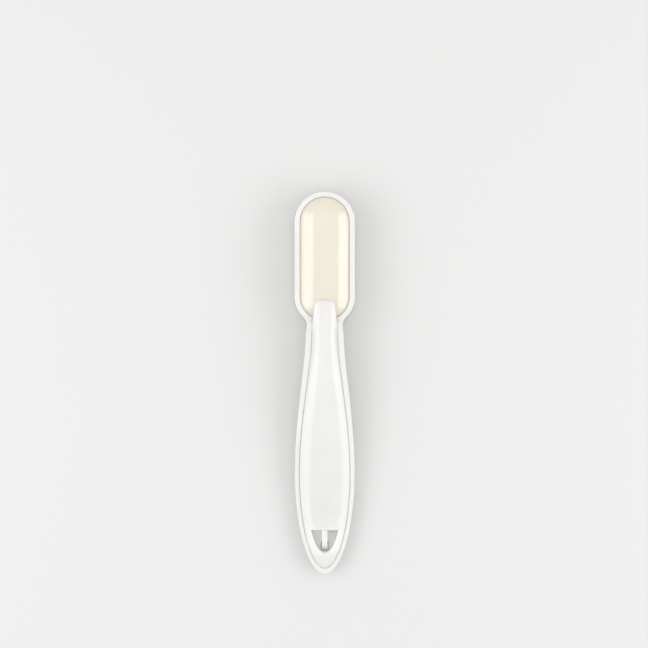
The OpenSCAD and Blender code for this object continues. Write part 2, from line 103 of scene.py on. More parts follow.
def ease(t):
    t = min(1.0, max(0.0, t))
    return t * t * (3 - 2 * t)


def lerp(a, b, t):
    return a + (b - a) * t


def crown(share):
    return 1 - (1 - min(1.0, max(0.0, share))) ** CROWN_POWER


print(f"a quarter of the way in, ease is {ease(0.25):.2f} and crown is {crown(0.25):.2f}")

# %% Outlines of the body and of the lever
GRIP_POWER = 1.4  # above 1, the grip swells late on its way from the neck


def grip_half(y):
    """Half width of the neck and grip at y."""
    t = min(1.0, max(0.0, (NECK_Y - y) / (NECK_Y - WIDE_Y)))
    return NECK_HALF + (GRIP_HALF - NECK_HALF) * math.sin(math.radians(90 * t)) ** GRIP_POWER


def mould_half(y, inset):
    """Half width of the mould at y, inset inside its outline, down to the end of the shoulder."""
    if y >= SHOULDER_Y:
        return MOULD_HALF - inset
    return SHOULDER_X + math.sqrt((OUTER_R - inset) ** 2 - (SHOULDER_Y - y) ** 2)


def body_half(y, inset):
    """Half width of the body at y, inset inside its outline, from the mould's side to the grip."""
    tangent_y = SHOULDER_Y - (OUTER_R - inset) * (SHOULDER_Y - FILLET_Y) / (OUTER_R + NECK_FILLET)
    if y > tangent_y:
        return mould_half(y, inset)
    if y > FILLET_Y:
        return FILLET_X - math.sqrt((NECK_FILLET + inset) ** 2 - (y - FILLET_Y) ** 2)
    return grip_half(y) - inset


def lever_inset(y):
    """How far the lever's edge lies inside the body's outline, between the neck and the tail."""
    return lerp(LEVER_IN, LEVER_NECK_IN, ease((y - WIDE_Y) / (NECK_Y - WIDE_Y)))


def tail_point(angle, side_in, end_in):
    """A point of the rounded tail, angle degrees round from the grip's widest place."""
    a = math.radians(angle)
    return (GRIP_HALF - side_in) * math.cos(a), WIDE_Y - (TAIL_LONG - end_in) * math.sin(a)


print(f"body {2 * body_half(FILLET_Y, 0):.1f} mm wide at the neck's fillet")

# %% [markdown]
# ## A loft made of extrusions
# Body, plate and lever are long closed outlines that are stepped up, over and down again. One way
# to make that is to draw every ring by hand and list the faces. It is less work to let Blender do
# it: a circle gives the first ring, its vertices are moved onto the outline, and each further ring
# is an edge extrusion of the last one. The seam down the middle closes when doubles are merged.


# %% Ring and extrusion helpers
def metres(x, y, z):
    return Vector((x * MM, y * MM, z * MM))


def first_ring(bm, points):
    """A closed chain of vertices on these points."""
    ring = bmesh.ops.create_circle(bm, cap_ends=False, segments=len(points), radius=MM)["verts"]
    for vert, point in zip(ring, points):
        vert.co = metres(*point)
    return ring


def next_row(bm, chain, points, closed=True):
    """Extrudes a chain of vertices once and puts the new ones on these points."""
    ends = chain[1:] + chain[:1] if closed else chain[1:]
    edges = [bm.edges.get((a, b)) for a, b in zip(chain, ends)]
    made = bmesh.ops.extrude_edge_only(bm, edges=edges)["geom"]
    fresh = {g for g in made if isinstance(g, bmesh.types.BMVert)}
    row = [next(e.other_vert(v) for e in v.link_edges if e.other_vert(v) in fresh) for v in chain]
    for vert, point in zip(row, points):
        vert.co = metres(*point)
    return row


def mirrored(right):
    """A whole ring from its right half, whose ends lie on the middle line."""
    return right + [(-x, y, z) for x, y, z in right[-2:0:-1]]


def loft(bm, right_halves):
    """Lofts rings that are given as right halves, and returns the first and the last ring."""
    first = last = first_ring(bm, mirrored(right_halves[0]))
    for right in right_halves[1:]:
        last = next_row(bm, last, mirrored(right))
    return first, last


# %% [markdown]
# Every outline is a row of stations, each with the kind of place that it is and a number: an angle
# round a tip or a tail, or a place along the tool.


# %% Spread stations along an outline
def stations(kind, first, last, count):
    """Evenly spread stations of one kind, after first and up to last."""
    return [(kind, lerp(first, last, i / count)) for i in range(1, count + 1)]


def sine_shares(count):
    """Shares from 0 to 1 that lie closer together towards 1, after 0."""
    return [math.sin(math.pi / 2 * i / count) for i in range(1, count + 1)]


def quarter(steps):
    """Angles from 0 to 90 degrees, as pairs of (1 - cos, 1 - sin)."""
    angles = [math.radians(90 * i / steps) for i in range(steps + 1)]
    return [(1 - math.cos(a), 1 - math.sin(a)) for a in angles]


print("four stations round a tail, degrees:", [value for kind, value in stations("tail", 0, 90, 4)])

# %% [markdown]
# Each mesh is finished in the same way: doubles are merged, its faces are turned outward, its
# creases are marked, and a count of open edges shows whether it is closed.

# %% Finishing helpers
MERGE = 0.002  # vertices that are closer than this become one
SPECK = 0.0005  # edges that are shorter than this are dissolved
CREASE = 38  # degrees


def close_up(bm, name, sharp=CREASE):
    """Merges doubles, turns the faces outward, marks creases and checks that the mesh is closed."""
    bmesh.ops.remove_doubles(bm, verts=bm.verts, dist=MERGE * MM)
    bmesh.ops.dissolve_degenerate(bm, edges=bm.edges, dist=SPECK * MM)
    bmesh.ops.recalc_face_normals(bm, faces=bm.faces)
    for face in bm.faces:
        face.smooth = True
    for edge in bm.edges:
        edge.smooth = edge.calc_face_angle(0) < math.radians(sharp)
    open_edges = sum(1 for e in bm.edges if len(e.link_faces) != 2)
    print(f"{name}: {len(bm.faces)} faces, {open_edges} open edges")


def to_object(bm, name):
    """Puts a finished bmesh into the scene as an object at the origin."""
    mesh = bpy.data.meshes.new(name)
    bm.to_mesh(mesh)
    bm.free()
    piece = bpy.data.objects.new(name, mesh)
    bpy.context.scene.collection.objects.link(piece)
    return piece


# %% Helpers for small blocks and rounded edges
CORNER = 60  # degrees, what counts as a corner of a small piece


def add_block(bm, size, centre):
    """Adds a block of this size round this centre, and returns its vertices."""
    block = bmesh.ops.create_cube(bm, size=1)["verts"]
    bmesh.ops.scale(bm, verts=block, vec=metres(*size))
    bmesh.ops.translate(bm, verts=block, vec=metres(*centre))
    return block


def edges_of(bm, verts):
    return [e for e in bm.edges if e.verts[0] in verts and e.verts[1] in verts]


def sharp_edges(bm, degrees=CORNER):
    return [e for e in bm.edges if e.calc_face_angle(0) > math.radians(degrees)]


def above(edge, z):
    """Does the whole edge lie higher than z?"""
    return all(v.co.z > z * MM for v in edge.verts)


def round_edges(bm, edges, size, segments=3):
    """Bevels these edges and returns the new faces."""
    return bmesh.ops.bevel(bm, geom=edges, offset=size * MM, segments=segments, profile=0.5,
                           affect="EDGES", material=-1)["faces"]


# %% [markdown]
# ## The body: mould, neck and hollow handle
# On the real tool this is one moulding. The CAD part splits it at the neck so that each half can
# be checked, but a seam there would show as a line in the picture, so one mesh stands for both.
# Its section changes along the tool: a thin flared wall round the mould, a deep rounded tray along
# the handle. Both are described by the same row of points, so one loft makes the whole body.

# %% Heights along the body
NECK_LIFT, LIFT_Y = 8.0, -60.0  # how far the underside rises to the neck, and from where
RIM_RISE_Y = -75.0  # the rim rises from here to the mould
FLOOR_T = 1.8  # thickness of the floor
FLOOR_LAG = 1.5  # where the underside drops to the mould, the floor follows this much later


def near_mould(y):
    """0 along the handle, 1 at the mould."""
    return ease((y - NECK_Y) / (JOIN_Y - NECK_Y))


def under_z(y):
    return NECK_LIFT * ease((y - LIFT_Y) / (NECK_Y - LIFT_Y)) * (1 - near_mould(y))


def floor_z(y):
    return FLOOR_T + max(under_z(y), under_z(y - FLOOR_LAG))


def rim_z(y):
    rise = ease((y - RIM_RISE_Y) / (JOIN_Y - RIM_RISE_Y))
    return TAIL_HIGH + (MOULD_HIGH - TAIL_HIGH) * rise


for y in (TIP_CENTRE_Y, NECK_Y, WIDE_Y, RIM_RISE_Y):
    print(f"y {y:6.1f}: rim {rim_z(y):5.2f}, underside {under_z(y):5.2f} mm")

# %% The body's section, as (inset, height) from its underside over the rim to its inside
ROUND_STEPS = 5
INNER_ROW = 2 * (ROUND_STEPS + 1)  # rows from here on are the inside of the body
FOOT_R, BASE_R = 0.4, 2.4  # rounding at the foot of the mould and of the handle
RIM_R, FLOOR_FILLET = 0.5, 1.2
LEAN, TRAY_DRAFT = 1.0, 0.1  # how far the handle's outside and the tray's inside lean in


def body_section(kind, y):
    of_mould = 1.0 if kind in ("tip", "mould") else near_mould(y)
    of_handle = 1 - of_mould
    lean, foot = LEAN * of_handle, lerp(BASE_R, FOOT_R, of_mould)
    low, top, side = under_z(y), rim_z(y), OUTER_DRAFT * of_mould
    inner = lerp(lever_inset(y) - GAP, DRAFT + WALL, of_mould)
    turn = quarter(ROUND_STEPS)
    rows = [(lean + foot * s, low + foot * c) for c, s in turn]
    rows += [(side + RIM_R * c, top - RIM_R * s) for c, s in turn]
    rows += [(inner - RIM_R * s, top - RIM_R * c) for c, s in turn]
    if kind in ("tip", "mould"):
        rows += [(WALL - FOOT_R * c, FOOT_R * s) for c, s in turn]
    elif kind == "lip":
        rows += [(inner, FOOT_R * s) for c, s in turn]
    else:
        inner += TRAY_DRAFT * of_handle
        rows += [(inner + FLOOR_FILLET * c, floor_z(y) + FLOOR_FILLET * s) for c, s in turn]
    return rows


print(len(body_section("run", NECK_Y)), "rows in the body's section")

# %% Stations of the body, from the tip of the mould to the end of the tail
CHANNEL_Y = THROAT_Y - 0.4  # where the channel behind the throat's lip starts

body_stations = [("tip", 0.0)] + stations("tip", 0, 90, 36)
body_stations += stations("mould", TIP_CENTRE_Y, SHOULDER_Y, 8)
body_stations += [("mould", SHOULDER_Y - SHOULDER_LONG * share) for share in sine_shares(16)]
mould_end = len(body_stations)
body_stations += [("lip", THROAT_Y), ("channel", CHANNEL_Y)]
body_stations += stations("run", CHANNEL_Y, NECK_Y, 16)
body_stations += stations("run", NECK_Y, WIDE_Y, 40)
body_stations += stations("tail", 0, 90, 40)
print(len(body_stations), "stations on each side of the body")

# %% [markdown]
# Where the mould ends, its inside stops at a throat that the lever's arm passes through. Behind
# it the tray's inside carries on. The placing function below keeps the channel between the two
# as wide as the throat at first, and a low sill is added afterwards as a small block across it.

# %% Place one point of the body
CHANNEL_LONG = 5.0  # over this length the channel widens from the throat to the tray


def body_point(station, row):
    kind, value = station
    if kind == "tip":
        inset, z = body_section(kind, TIP_CENTRE_Y)[row]
        a, r = math.radians(value), MOULD_HALF - inset
        return r * math.sin(a), TIP_CENTRE_Y + r * math.cos(a), z
    if kind == "tail":
        inset, z = body_section(kind, tail_point(value, 0, 0)[1])[row]
        end_in = inset + (LEVER_END_IN - LEVER_IN if row >= INNER_ROW else 0)
        x, y = tail_point(value, inset, end_in)
        return (0.0 if value == 90 else x), y, z
    inset, z = body_section(kind, value)[row]
    if kind == "lip" and row == 0:
        # The underside starts at the throat's inner corner
        return THROAT_HALF, value, 0.0
    if row < INNER_ROW:
        return body_half(value, inset), value, z
    if kind == "mould":
        return mould_half(value, inset), value, z
    tray_x = body_half(value, inset)
    return lerp(THROAT_HALF, tray_x, ease((THROAT_Y - value) / CHANNEL_LONG)), value, z


# %% Loft the body and close its floor, underside and open face
SMALL_HOLE = 12  # sides of the largest hole that is filled at the end

body_rows = range(len(body_section("run", NECK_Y)))
bm = bmesh.new()
outside, inside = loft(bm, [[body_point(s, row) for s in body_stations] for row in body_rows])

# The mould's wall closes underneath, from one side of the throat round the tip to the other
count = len(outside)
order = list(range(count - mould_end, count)) + list(range(mould_end + 1))
next_row(bm, [inside[i] for i in order], [outside[i].co / MM for i in order], closed=False)

# The floor and the underside of the handle each close on the middle line
for chain, start in ((inside, mould_end + 1), (outside, mould_end)):
    side = [chain[i] for i in range(start, count - start + 1)]
    next_row(bm, side, [(0, v.co.y / MM, v.co.z / MM) for v in side], closed=False)
bmesh.ops.remove_doubles(bm, verts=bm.verts, dist=MERGE * MM)
bmesh.ops.holes_fill(bm, edges=[e for e in bm.edges if e.is_boundary], sides=SMALL_HOLE)
close_up(bm, "body")

# %% Add the sill across the throat
SILL_ROUND = 0.5
SLIVER = 0.02  # the sill's ends run this far into the walls, and its foot stays this far up
LEVEL = 1e-6  # metres

sill_long = THROAT_Y - JOIN_Y
sill = add_block(bm, (2 * THROAT_HALF + 2 * SLIVER, sill_long, SILL_HIGH - SLIVER),
                 (0, THROAT_Y - sill_long / 2, SILL_HIGH / 2 + SLIVER / 2))
crosswise = [e for e in edges_of(bm, sill) if abs(e.verts[0].co.y - e.verts[1].co.y) < LEVEL]
top_edges = [e for e in crosswise if above(e, SILL_HIGH - RIM_R)]
for face in round_edges(bm, top_edges, SILL_ROUND, segments=4):
    face.smooth = True
body = to_object(bm, "body_moulding")
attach(body, "handle_body")
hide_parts("mould_ring", "handle_tray")
print("body box, mm:", [round(v, 1) for v in body.dimensions / MM])

# %% [markdown]
# ## The plate that pushes the rice out
# The plate is a lid that lies inside the mould's wall and rises to a broad dome. Its outline is
# the inside of the mould, a little smaller all round. Stepping inward by the same distance
# everywhere, as a hipped roof does, keeps the dome's shoulders even, which is what the two long
# highlights on it follow.

# %% The plate's outline at a distance in from its edge
PLATE_GAP = 0.2  # the slit all round the plate
PLATE_Y, PLATE_T = 34.6, 2.0  # its end at the throat, and its thickness
PLATE_EDGE_Z, PLATE_RISE = 18.2, 3.86  # height of its edge, and how far the dome rises over it
PLATE_HALF = CAVITY_HALF - PLATE_GAP

plate_stations = [("tip", 0.0)] + stations("tip", 0, 90, 36)
plate_stations += stations("side", 0, 1, 10)
plate_stations += [("shoulder", share) for share in sine_shares(14)]
plate_stations += stations("end", 0, 1, 6)
print(len(plate_stations), "stations on each side of the plate")


def plate_place(station, inset, z):
    kind, value = station
    end_y = PLATE_Y + inset
    turn_y = max(SHOULDER_Y, end_y)
    if kind == "tip":
        a, r = math.radians(value), PLATE_HALF - inset
        return r * math.sin(a), TIP_CENTRE_Y + r * math.cos(a), z
    if kind == "side":
        return PLATE_HALF - inset, lerp(TIP_CENTRE_Y, turn_y, value), z
    y = end_y if kind == "end" else lerp(turn_y, end_y, value)
    reach = max(0.0, (CAVITY_R - PLATE_GAP - inset) ** 2 - max(0.0, SHOULDER_Y - y) ** 2)
    x = min(PLATE_HALF - inset, SHOULDER_X + math.sqrt(reach))
    return (x * (1 - value) if kind == "end" else x), y, z


# %% The plate's height at a distance in from its edge
EDGE_R = 0.5  # width of the rounded edge of the plate and of the lever
PLATE_FALL = 0.225  # how far the plate's rounded edge falls away


def plate_top_z(inset):
    return PLATE_EDGE_Z + PLATE_RISE * crown(inset / PLATE_HALF)


def rounded_off(share, fall):
    """How far a rounded edge falls away, a share of its width in from the outline."""
    return fall * (1 - math.sqrt(1 - (1 - share) ** 2))


def plate_height(inset, under):
    if under:
        return plate_top_z(inset) - PLATE_T
    return plate_top_z(inset) - rounded_off(min(1.0, inset / EDGE_R), PLATE_FALL)


print(f"the dome's top is {plate_top_z(PLATE_HALF):.2f} mm high")

# %% Loft the plate from the middle of its underside, round its edge, to the middle of its dome
PLATE_UNDER = (0.0, 0.12, 0.26, 0.42, 0.6, 0.8, 1)  # shares of the way in, closer at the edge
EDGE_STEPS = (0, 0.05, 0.2, 0.5, 1)  # shares of the rounded edge
DOME_ROWS = 18

plate_rows = [(PLATE_HALF * share, True) for share in reversed(PLATE_UNDER)]
plate_rows += [(EDGE_R * share, False) for share in EDGE_STEPS]
plate_rows += [(inset, False) for kind, inset in stations("dome", EDGE_R, PLATE_HALF, DOME_ROWS)]

bm = bmesh.new()
loft(bm, [[plate_place(s, inset, plate_height(inset, under)) for s in plate_stations]
          for inset, under in plate_rows])
close_up(bm, "plate")

# %% Hang the apron from the plate, which closes the throat above the sill
APRON_SIZE = (11.8, 1.4, 7.0)
APRON_IN, APRON_Z = 0.9, 14.1  # its middle: how far in from the plate's end, and how high
APRON_ROUND = 0.3

apron = add_block(bm, APRON_SIZE, (0, PLATE_Y + APRON_IN, APRON_Z))
round_edges(bm, edges_of(bm, apron), APRON_ROUND)
plate = to_object(bm, "dome_plate")
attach(plate, "lever_body")
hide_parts("push_plate")
print("plate box, mm:", [round(v, 1) for v in plate.dimensions / MM])

# %% [markdown]
# ## The thumb lever
# The lever fills the handle's tray and narrows into an arm that passes the throat and lies on the
# plate with a squared, round-cornered end. It could be a subdivision surface over a coarse cage,
# but the slit between it and the tray is a third of a millimetre wide, and a cage would not hold
# that. So it is lofted on exact insets from the body's own outline, with a rounded edge, a crowned
# top, and a hollow underside with a skirt.

# %% Shape of the lever
SKIN = 1.8
ARM_Y, ARM_HALF, ARM_CORNER = 42.9, 5.2, 2.2  # the arm's end, its half width and its corners
ARM_EDGE_Z, ARM_SEAT = 22.46, 0.2  # height of its edge, and how far it lies over the plate
TAPER_Y = 30.0  # from here the arm narrows to its end
EDGE_PROUD = 0.3  # the lever's edge stands this far over the tray's rim
GRIP_CROWN, ARM_CROWN = 2.7, 1.0  # how far the crown rises over the edge
GRIP_SKIRT, ARM_SKIRT = 2.6, 1.2  # how far the skirt hangs below the edge


def along_arm(y):
    """0 up to the neck, 1 at the arm's end."""
    return ease((y - NECK_Y) / (ARM_Y - NECK_Y))


def lever_half(y):
    if y > NECK_Y:
        taper = ease((y - TAPER_Y) / (ARM_Y - TAPER_Y))
        return lerp(NECK_HALF - LEVER_NECK_IN, ARM_HALF, taper)
    return grip_half(y) - lever_inset(y)


def lever_edge_z(y):
    return lerp(rim_z(min(y, NECK_Y)) + EDGE_PROUD, ARM_EDGE_Z, along_arm(y))


def lever_top_z(y, share):
    """Height of the skin at y, a share of the way in from the edge to the middle."""
    return lever_edge_z(y) + lerp(GRIP_CROWN, ARM_CROWN, along_arm(y)) * crown(share)


def lever_skirt_z(y):
    past_throat = ease((y - THROAT_Y) / (ARM_Y - THROAT_Y))
    return lever_edge_z(y) - lerp(GRIP_SKIRT, ARM_SKIRT, past_throat)


print(f"lever: arm top {lever_top_z(ARM_Y, 1):.2f} mm, grip top {lever_top_z(WIDE_Y, 1):.2f} mm high")

# %% Stations of the lever, from the arm's end to the end of the tail
ARM_SIDE_Y = ARM_Y - ARM_HALF - 0.5  # just behind the place where the rows of the arm's end meet

lever_stations = [("end", 0.0)] + stations("end", 0, 1, 4)
lever_stations += stations("corner", 90, 0, 8)
lever_stations += [("side", ARM_SIDE_Y)] + stations("side", ARM_SIDE_Y, NECK_Y, 18)
lever_stations += stations("side", NECK_Y, WIDE_Y, 40)
lever_stations += stations("tail", 0, 90, 44)
print(len(lever_stations), "stations on each side of the lever")


def lever_spot(station):
    """Place along the tool and half width that set the section at a station."""
    kind, value = station
    if kind == "tail":
        return tail_point(value, LEVER_IN, LEVER_END_IN)[1], GRIP_HALF - LEVER_IN
    if kind == "side":
        return value, lever_half(value)
    return ARM_Y, ARM_HALF


def lever_place(station, inset):
    """Where a station lies in plan, inset inside the lever's outline."""
    kind, value = station
    r = ARM_CORNER * (1 - inset / ARM_HALF)
    if kind == "end":
        return (ARM_HALF - inset - r) * value, ARM_Y - inset
    if kind == "corner":
        a = math.radians(value)
        return ARM_HALF - inset - r * (1 - math.cos(a)), ARM_Y - inset - r * (1 - math.sin(a))
    if kind == "side":
        return lever_half(value) - inset, value
    x, y = tail_point(value, LEVER_IN + inset, LEVER_END_IN + inset)
    return (0.0 if value == 90 else x), y


# %% The lever's section
LEVER_FALL = 0.33  # how far its rounded edge falls away
SKIRT_BEVEL = 0.3
UNDER_SHARES = (1, 0.75, 0.5, 0.25, 0.0)
CROWN_ROWS, CROWN_SPREAD = 16, 1.2  # above 1, the rows lie closer together near the edge
crown_shares = [(i / CROWN_ROWS) ** CROWN_SPREAD for i in range(1, CROWN_ROWS + 1)]


def lever_section(y, half):
    """(inset, height, is it underneath), from the middle of the underside to the crown."""
    rows = []
    for share in UNDER_SHARES:
        inset = lerp(SKIN, half, share)
        rows.append((inset, lever_top_z(y, inset / half) - SKIN, True))
    skirt = lever_skirt_z(y)
    rows += [(SKIN, skirt, True), (SKIRT_BEVEL, skirt, True), (0, skirt + SKIRT_BEVEL, True)]
    for share in EDGE_STEPS:
        inset = share * EDGE_R
        top = lever_top_z(y, inset / half)
        rows.append((inset, top - rounded_off(share, LEVER_FALL), False))
    for share in crown_shares:
        inset = lerp(EDGE_R, half, share)
        rows.append((inset, lever_top_z(y, inset / half), False))
    return rows


def lever_point(station, row):
    y, half = lever_spot(station)
    inset, z, under = lever_section(y, half)[row]
    px, py = lever_place(station, inset)
    if under and py > PLATE_Y:
        # The arm's underside rests just over the plate
        arc = CAVITY_R - PLATE_GAP - math.hypot(max(0.0, px - SHOULDER_X), SHOULDER_Y - py)
        z = max(z, plate_top_z(min(PLATE_HALF - px, py - PLATE_Y, arc)) + ARM_SEAT)
    return px, py, z


# %% Loft the lever
lever_rows = range(len(lever_section(WIDE_Y, GRIP_HALF)))
bm = bmesh.new()
loft(bm, [[lever_point(s, row) for s in lever_stations] for row in lever_rows])
close_up(bm, "lever")
lever = to_object(bm, "thumb_lever")

# %% [markdown]
# ## The window near the tail
# A D-shaped window lets the spring tongue through. A prism with its outline is taken out of the
# lever with a Boolean modifier, which handles the crossing of a curved skin and a straight wall
# better than cutting face by face. A narrow bevel on the new edge then catches the light, as the
# slightly rounded edge of a real moulding does.

# %% Outline of the window
WINDOW_Y, WINDOW_END_Y = -77.0, -88.7  # its straight edge, and the end of its round one
WINDOW_HALF, WINDOW_ROUND = 7.0, 27.1
WINDOW_STEPS = 28
WINDOW_LONG = WINDOW_Y - WINDOW_END_Y


def window_half(y):
    wide = WINDOW_HALF / math.sqrt(1 - ((WINDOW_ROUND - WINDOW_LONG) / WINDOW_ROUND) ** 2)
    from_centre = (WINDOW_END_Y + WINDOW_ROUND - y) / WINDOW_ROUND
    return wide * math.sqrt(max(0.0, 1 - from_centre**2))


def window_outline(z):
    steps = range(WINDOW_STEPS + 1)
    ys = [WINDOW_Y - WINDOW_LONG * (1 - (1 - i / WINDOW_STEPS) ** 2) for i in steps]
    xs = [window_half(y) for y in ys[:-1]] + [0]
    return mirrored([(0, WINDOW_Y, z)] + [(x, y, z) for x, y in zip(xs, ys)])


print(f"window {2 * window_half(WINDOW_Y):.1f} mm wide and {WINDOW_LONG:.1f} mm long")

# %% Cut the window
CUT_LOW, CUT_HIGH = 5, 20  # the prism reaches past the lever both ways

bm = bmesh.new()
ring = first_ring(bm, window_outline(CUT_LOW))
bmesh.ops.contextual_create(bm, geom=ring)
ring = next_row(bm, ring, window_outline(CUT_HIGH))
bmesh.ops.contextual_create(bm, geom=ring)
bmesh.ops.recalc_face_normals(bm, faces=bm.faces)
cutter = to_object(bm, "window_cutter")


def apply_modifiers(piece):
    """Bakes a piece's modifiers into its mesh."""
    graph = bpy.context.evaluated_depsgraph_get()
    mesh = bpy.data.meshes.new_from_object(piece.evaluated_get(graph))
    piece.modifiers.clear()
    piece.data = mesh


cut = lever.modifiers.new("window", "BOOLEAN")
cut.operation = "DIFFERENCE"
cut.object = cutter
cut.solver = "EXACT"
apply_modifiers(lever)
bpy.data.objects.remove(cutter)
print("lever after the window:", len(lever.data.polygons), "faces")

# %% Round the window's upper edge
CUT_MERGE = 0.004  # the cut leaves vertices this close to each other
CUT_ANGLE = 50  # degrees
NEAR_END, NEAR_STRAIGHT, NEAR_ROUND = 0.05, 0.01, 0.08  # how near the outline a vertex lies
WALL_FROM_Z, SKIN_OVER = 8.2, 0.4  # heights that tell the upper edge from the lower one
WINDOW_EDGE = 0.22

bm = bmesh.new()
bm.from_mesh(lever.data)
bmesh.ops.remove_doubles(bm, verts=bm.verts, dist=CUT_MERGE * MM)


def on_window(vert):
    """Does this vertex lie on the window's outline?"""
    x, y = abs(vert.co.x) / MM, vert.co.y / MM
    if not WINDOW_END_Y - NEAR_END < y < WINDOW_Y + NEAR_END or vert.co.z / MM < WALL_FROM_Z:
        return False
    return abs(y - WINDOW_Y) < NEAR_STRAIGHT or abs(x - window_half(y)) < NEAR_ROUND


upper_z = lever_top_z(WINDOW_Y, 0) + SKIN_OVER
rim = [e for e in sharp_edges(bm, CUT_ANGLE) if all(map(on_window, e.verts))
       and max(v.co.z for v in e.verts) / MM > upper_z]
round_edges(bm, rim, WINDOW_EDGE, segments=2)
close_up(bm, "lever with window")
bm.to_mesh(lever.data)
bm.free()
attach(lever, "lever_body")
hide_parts("press_lever")

# %% [markdown]
# ## The raised chevron
# Near the window a small arrowhead stands up from the skin and tells the thumb where to press. It
# could be cut as relief into the lever, but that would need a far denser skin. So a flat grid is
# folded into the chevron, laid on the crown of the lever, thickened downward and softened along
# its edges.

# %% Lay the chevron on the lever's skin
MARK_Y = -63.2  # its point
MARK_LONG, MARK_HALF, MARK_WIDE = 3.7, 4.1, 1.3
MARK_RISE, MARK_DEEP, MARK_ROUND = 0.15, 0.8, 0.15


def lever_skin_z(x, y):
    """Height of the lever's skin over a place near its tail."""
    along = (WIDE_Y - y) / (TAIL_LONG - LEVER_END_IN)
    half = (GRIP_HALF - LEVER_IN) * math.sqrt(1 - max(0.0, along) ** 2)
    return lever_top_z(y, 1 - abs(x) / half)


bm = bmesh.new()
bmesh.ops.create_grid(bm, x_segments=16, y_segments=3, size=1)
for vert in bm.verts:
    x = vert.co.x * MARK_HALF
    y = MARK_Y - abs(x) * MARK_LONG / MARK_HALF - (1 - vert.co.y) / 2 * MARK_WIDE
    vert.co = metres(x, y, lever_skin_z(x, y) + MARK_RISE)
bmesh.ops.recalc_face_normals(bm, faces=bm.faces)
made = bmesh.ops.extrude_face_region(bm, geom=list(bm.faces))["geom"]
lower = [g for g in made if isinstance(g, bmesh.types.BMVert)]
bmesh.ops.translate(bm, verts=lower, vec=metres(0, 0, -MARK_DEEP))
close_up(bm, "chevron", sharp=CORNER)


# %% Soften the chevron's upper edges
def over_skin(vert):
    return vert.co.z > lever_skin_z(vert.co.x / MM, vert.co.y / MM) * MM


upper = [e for e in sharp_edges(bm) if all(map(over_skin, e.verts))]
round_edges(bm, upper, MARK_ROUND)
bmesh.ops.recalc_face_normals(bm, faces=bm.faces)
for face in bm.faces:
    face.smooth = True
chevron = to_object(bm, "thumb_chevron")
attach(chevron, "lever_body")
print("chevron box, mm:", [round(v, 1) for v in chevron.dimensions / MM])

# %% [markdown]
# ## The spring tongue
# The tongue is a strip that springs from the window's straight edge, dips, turns down and ends in
# a toe under a bar of the platform below. A strip that bends like this is a sweep: one small
# rectangle is extruded step by step along a curved path and turned at each step.

# %% Sweep the tongue along its path
# At each step: y, z, half of the strip's width, half of its thickness
TONGUE_STEPS = [
    (-77.15, 9.8, 1.4, 0.7),
    (-79.5, 9.55, 1.4, 0.7),
    (-82.0, 9.1, 1.4, 0.7),
    (-84.3, 8.45, 1.42, 0.7),
    (-85.9, 7.6, 1.55, 0.7),
    (-86.8, 6.5, 1.68, 0.7),
    (-87.1, 5.3, 1.7, 0.68),
    (-87.05, 4.3, 1.7, 0.64),
    (-86.6, 3.65, 1.7, 0.58),
    (-85.8, 3.45, 1.7, 0.55),
    (-84.5, 3.45, 1.7, 0.55),
]
TONGUE_ROUND = 0.25


def strip_corners(i):
    """The four corners of the strip's section at step i of the path."""
    before = TONGUE_STEPS[max(0, i - 1)]
    after = TONGUE_STEPS[min(len(TONGUE_STEPS) - 1, i + 1)]
    run = Vector((after[0] - before[0], after[1] - before[1])).normalized()
    y, z, half_wide, half_thick = TONGUE_STEPS[i]
    across = Vector((-run.y, run.x)) * half_thick
    return [(w * half_wide, y + s * across.x, z + s * across.y)
            for w, s in ((-1, -1), (1, -1), (1, 1), (-1, 1))]


bm = bmesh.new()
ring = first_ring(bm, strip_corners(0))
bmesh.ops.contextual_create(bm, geom=ring)
for i in range(1, len(TONGUE_STEPS)):
    ring = next_row(bm, ring, strip_corners(i))
bmesh.ops.contextual_create(bm, geom=ring)
bmesh.ops.recalc_face_normals(bm, faces=bm.faces)
round_edges(bm, sharp_edges(bm), TONGUE_ROUND)
close_up(bm, "tongue", sharp=CORNER)
tongue = to_object(bm, "sprung_tongue")
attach(tongue, "tongue_body")
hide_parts("spring_tongue")

# %% [markdown]
# ## The platform under the window
# A platform stands on the tray's floor below the window, with a pocket for the tongue's foot and a
# bar in it that holds the toe down. It is what is seen through the window, so its upper edges are
# rounded. It could be a block with a Boolean pocket. But its outline and the pocket's have eight
# points each, so one chain of extrusions makes its sides, its top and the pocket's walls. Filling
# the two holes that are left closes it.

# %% Make the platform
PLATFORM_TOP, PLATFORM_SINK = 6.8, 0.1  # its height, and how far it reaches into the floor
PLATFORM_ROUND = 0.3
POCKET_HALF, POCKET_FLOOR = 1.9, 0.1  # the pocket's floor lies this far over the tray's
POCKET_FRONT, POCKET_MIDDLE, POCKET_BACK = -83.4, -85.7, -87.95

platform_outline = [(0, -75.6), (7.4, -75.6), (7.4, -78), (3, -90), (0, -90)]
pocket_outline = [(0, POCKET_FRONT), (POCKET_HALF, POCKET_FRONT), (POCKET_HALF, POCKET_MIDDLE),
                  (POCKET_HALF, POCKET_BACK), (0, POCKET_BACK)]
levels = [
    (platform_outline, FLOOR_T - PLATFORM_SINK),
    (platform_outline, PLATFORM_TOP),
    (pocket_outline, PLATFORM_TOP),
    (pocket_outline, FLOOR_T + POCKET_FLOOR),
]
bm = bmesh.new()
loft(bm, [[(x, y, z) for x, y in points] for points, z in levels])
bmesh.ops.holes_fill(bm, edges=bm.edges, sides=0)
bmesh.ops.recalc_face_normals(bm, faces=bm.faces)
upper = [e for e in sharp_edges(bm) if above(e, PLATFORM_TOP - PLATFORM_SINK)]
round_edges(bm, upper, PLATFORM_ROUND)
print(len(upper), "upper edges of the platform are rounded")

